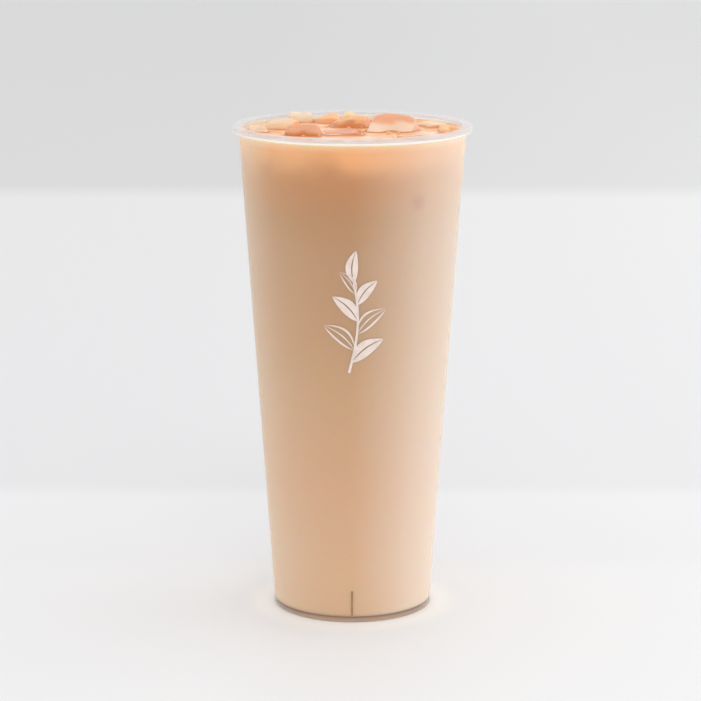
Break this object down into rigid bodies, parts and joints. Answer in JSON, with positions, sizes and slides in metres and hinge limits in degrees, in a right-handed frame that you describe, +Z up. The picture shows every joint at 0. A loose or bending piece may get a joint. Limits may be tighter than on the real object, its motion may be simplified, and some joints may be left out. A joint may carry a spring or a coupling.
{
  "type": "bubble tea",
  "caption": "Iced milk tea with floating ice in a tall tapered clear plastic cup without a lid, filled almost to the rim.",
  "frame": {"origin": "centre of the cup's foot on the surface it stands on", "axes": "+Z up along the axis of the cup, -Y towards the front of the cup"},
  "size_m": [0.09, 0.09, 0.1884],
  "materials": {
    "clear_plastic": "clear, slightly satin",
    "milk_tea": "wet",
    "ice": "wet, melting"
  },
  "bodies": {
    "root": {"cup": "clear_plastic", "ice_01": "ice", "ice_02": "ice", "ice_03": "ice", "ice_04": "ice", "ice_05": "ice", "ice_06": "ice", "ice_07": "ice", "ice_08": "ice", "ice_09": "ice", "ice_10": "ice", "ice_11": "ice", "ice_12": "ice", "ice_13": "ice", "ice_14": "ice", "ice_15": "ice", "ice_16": "ice", "ice_17": "ice", "milk_tea": "milk_tea"}
  },
  "joints": []
}
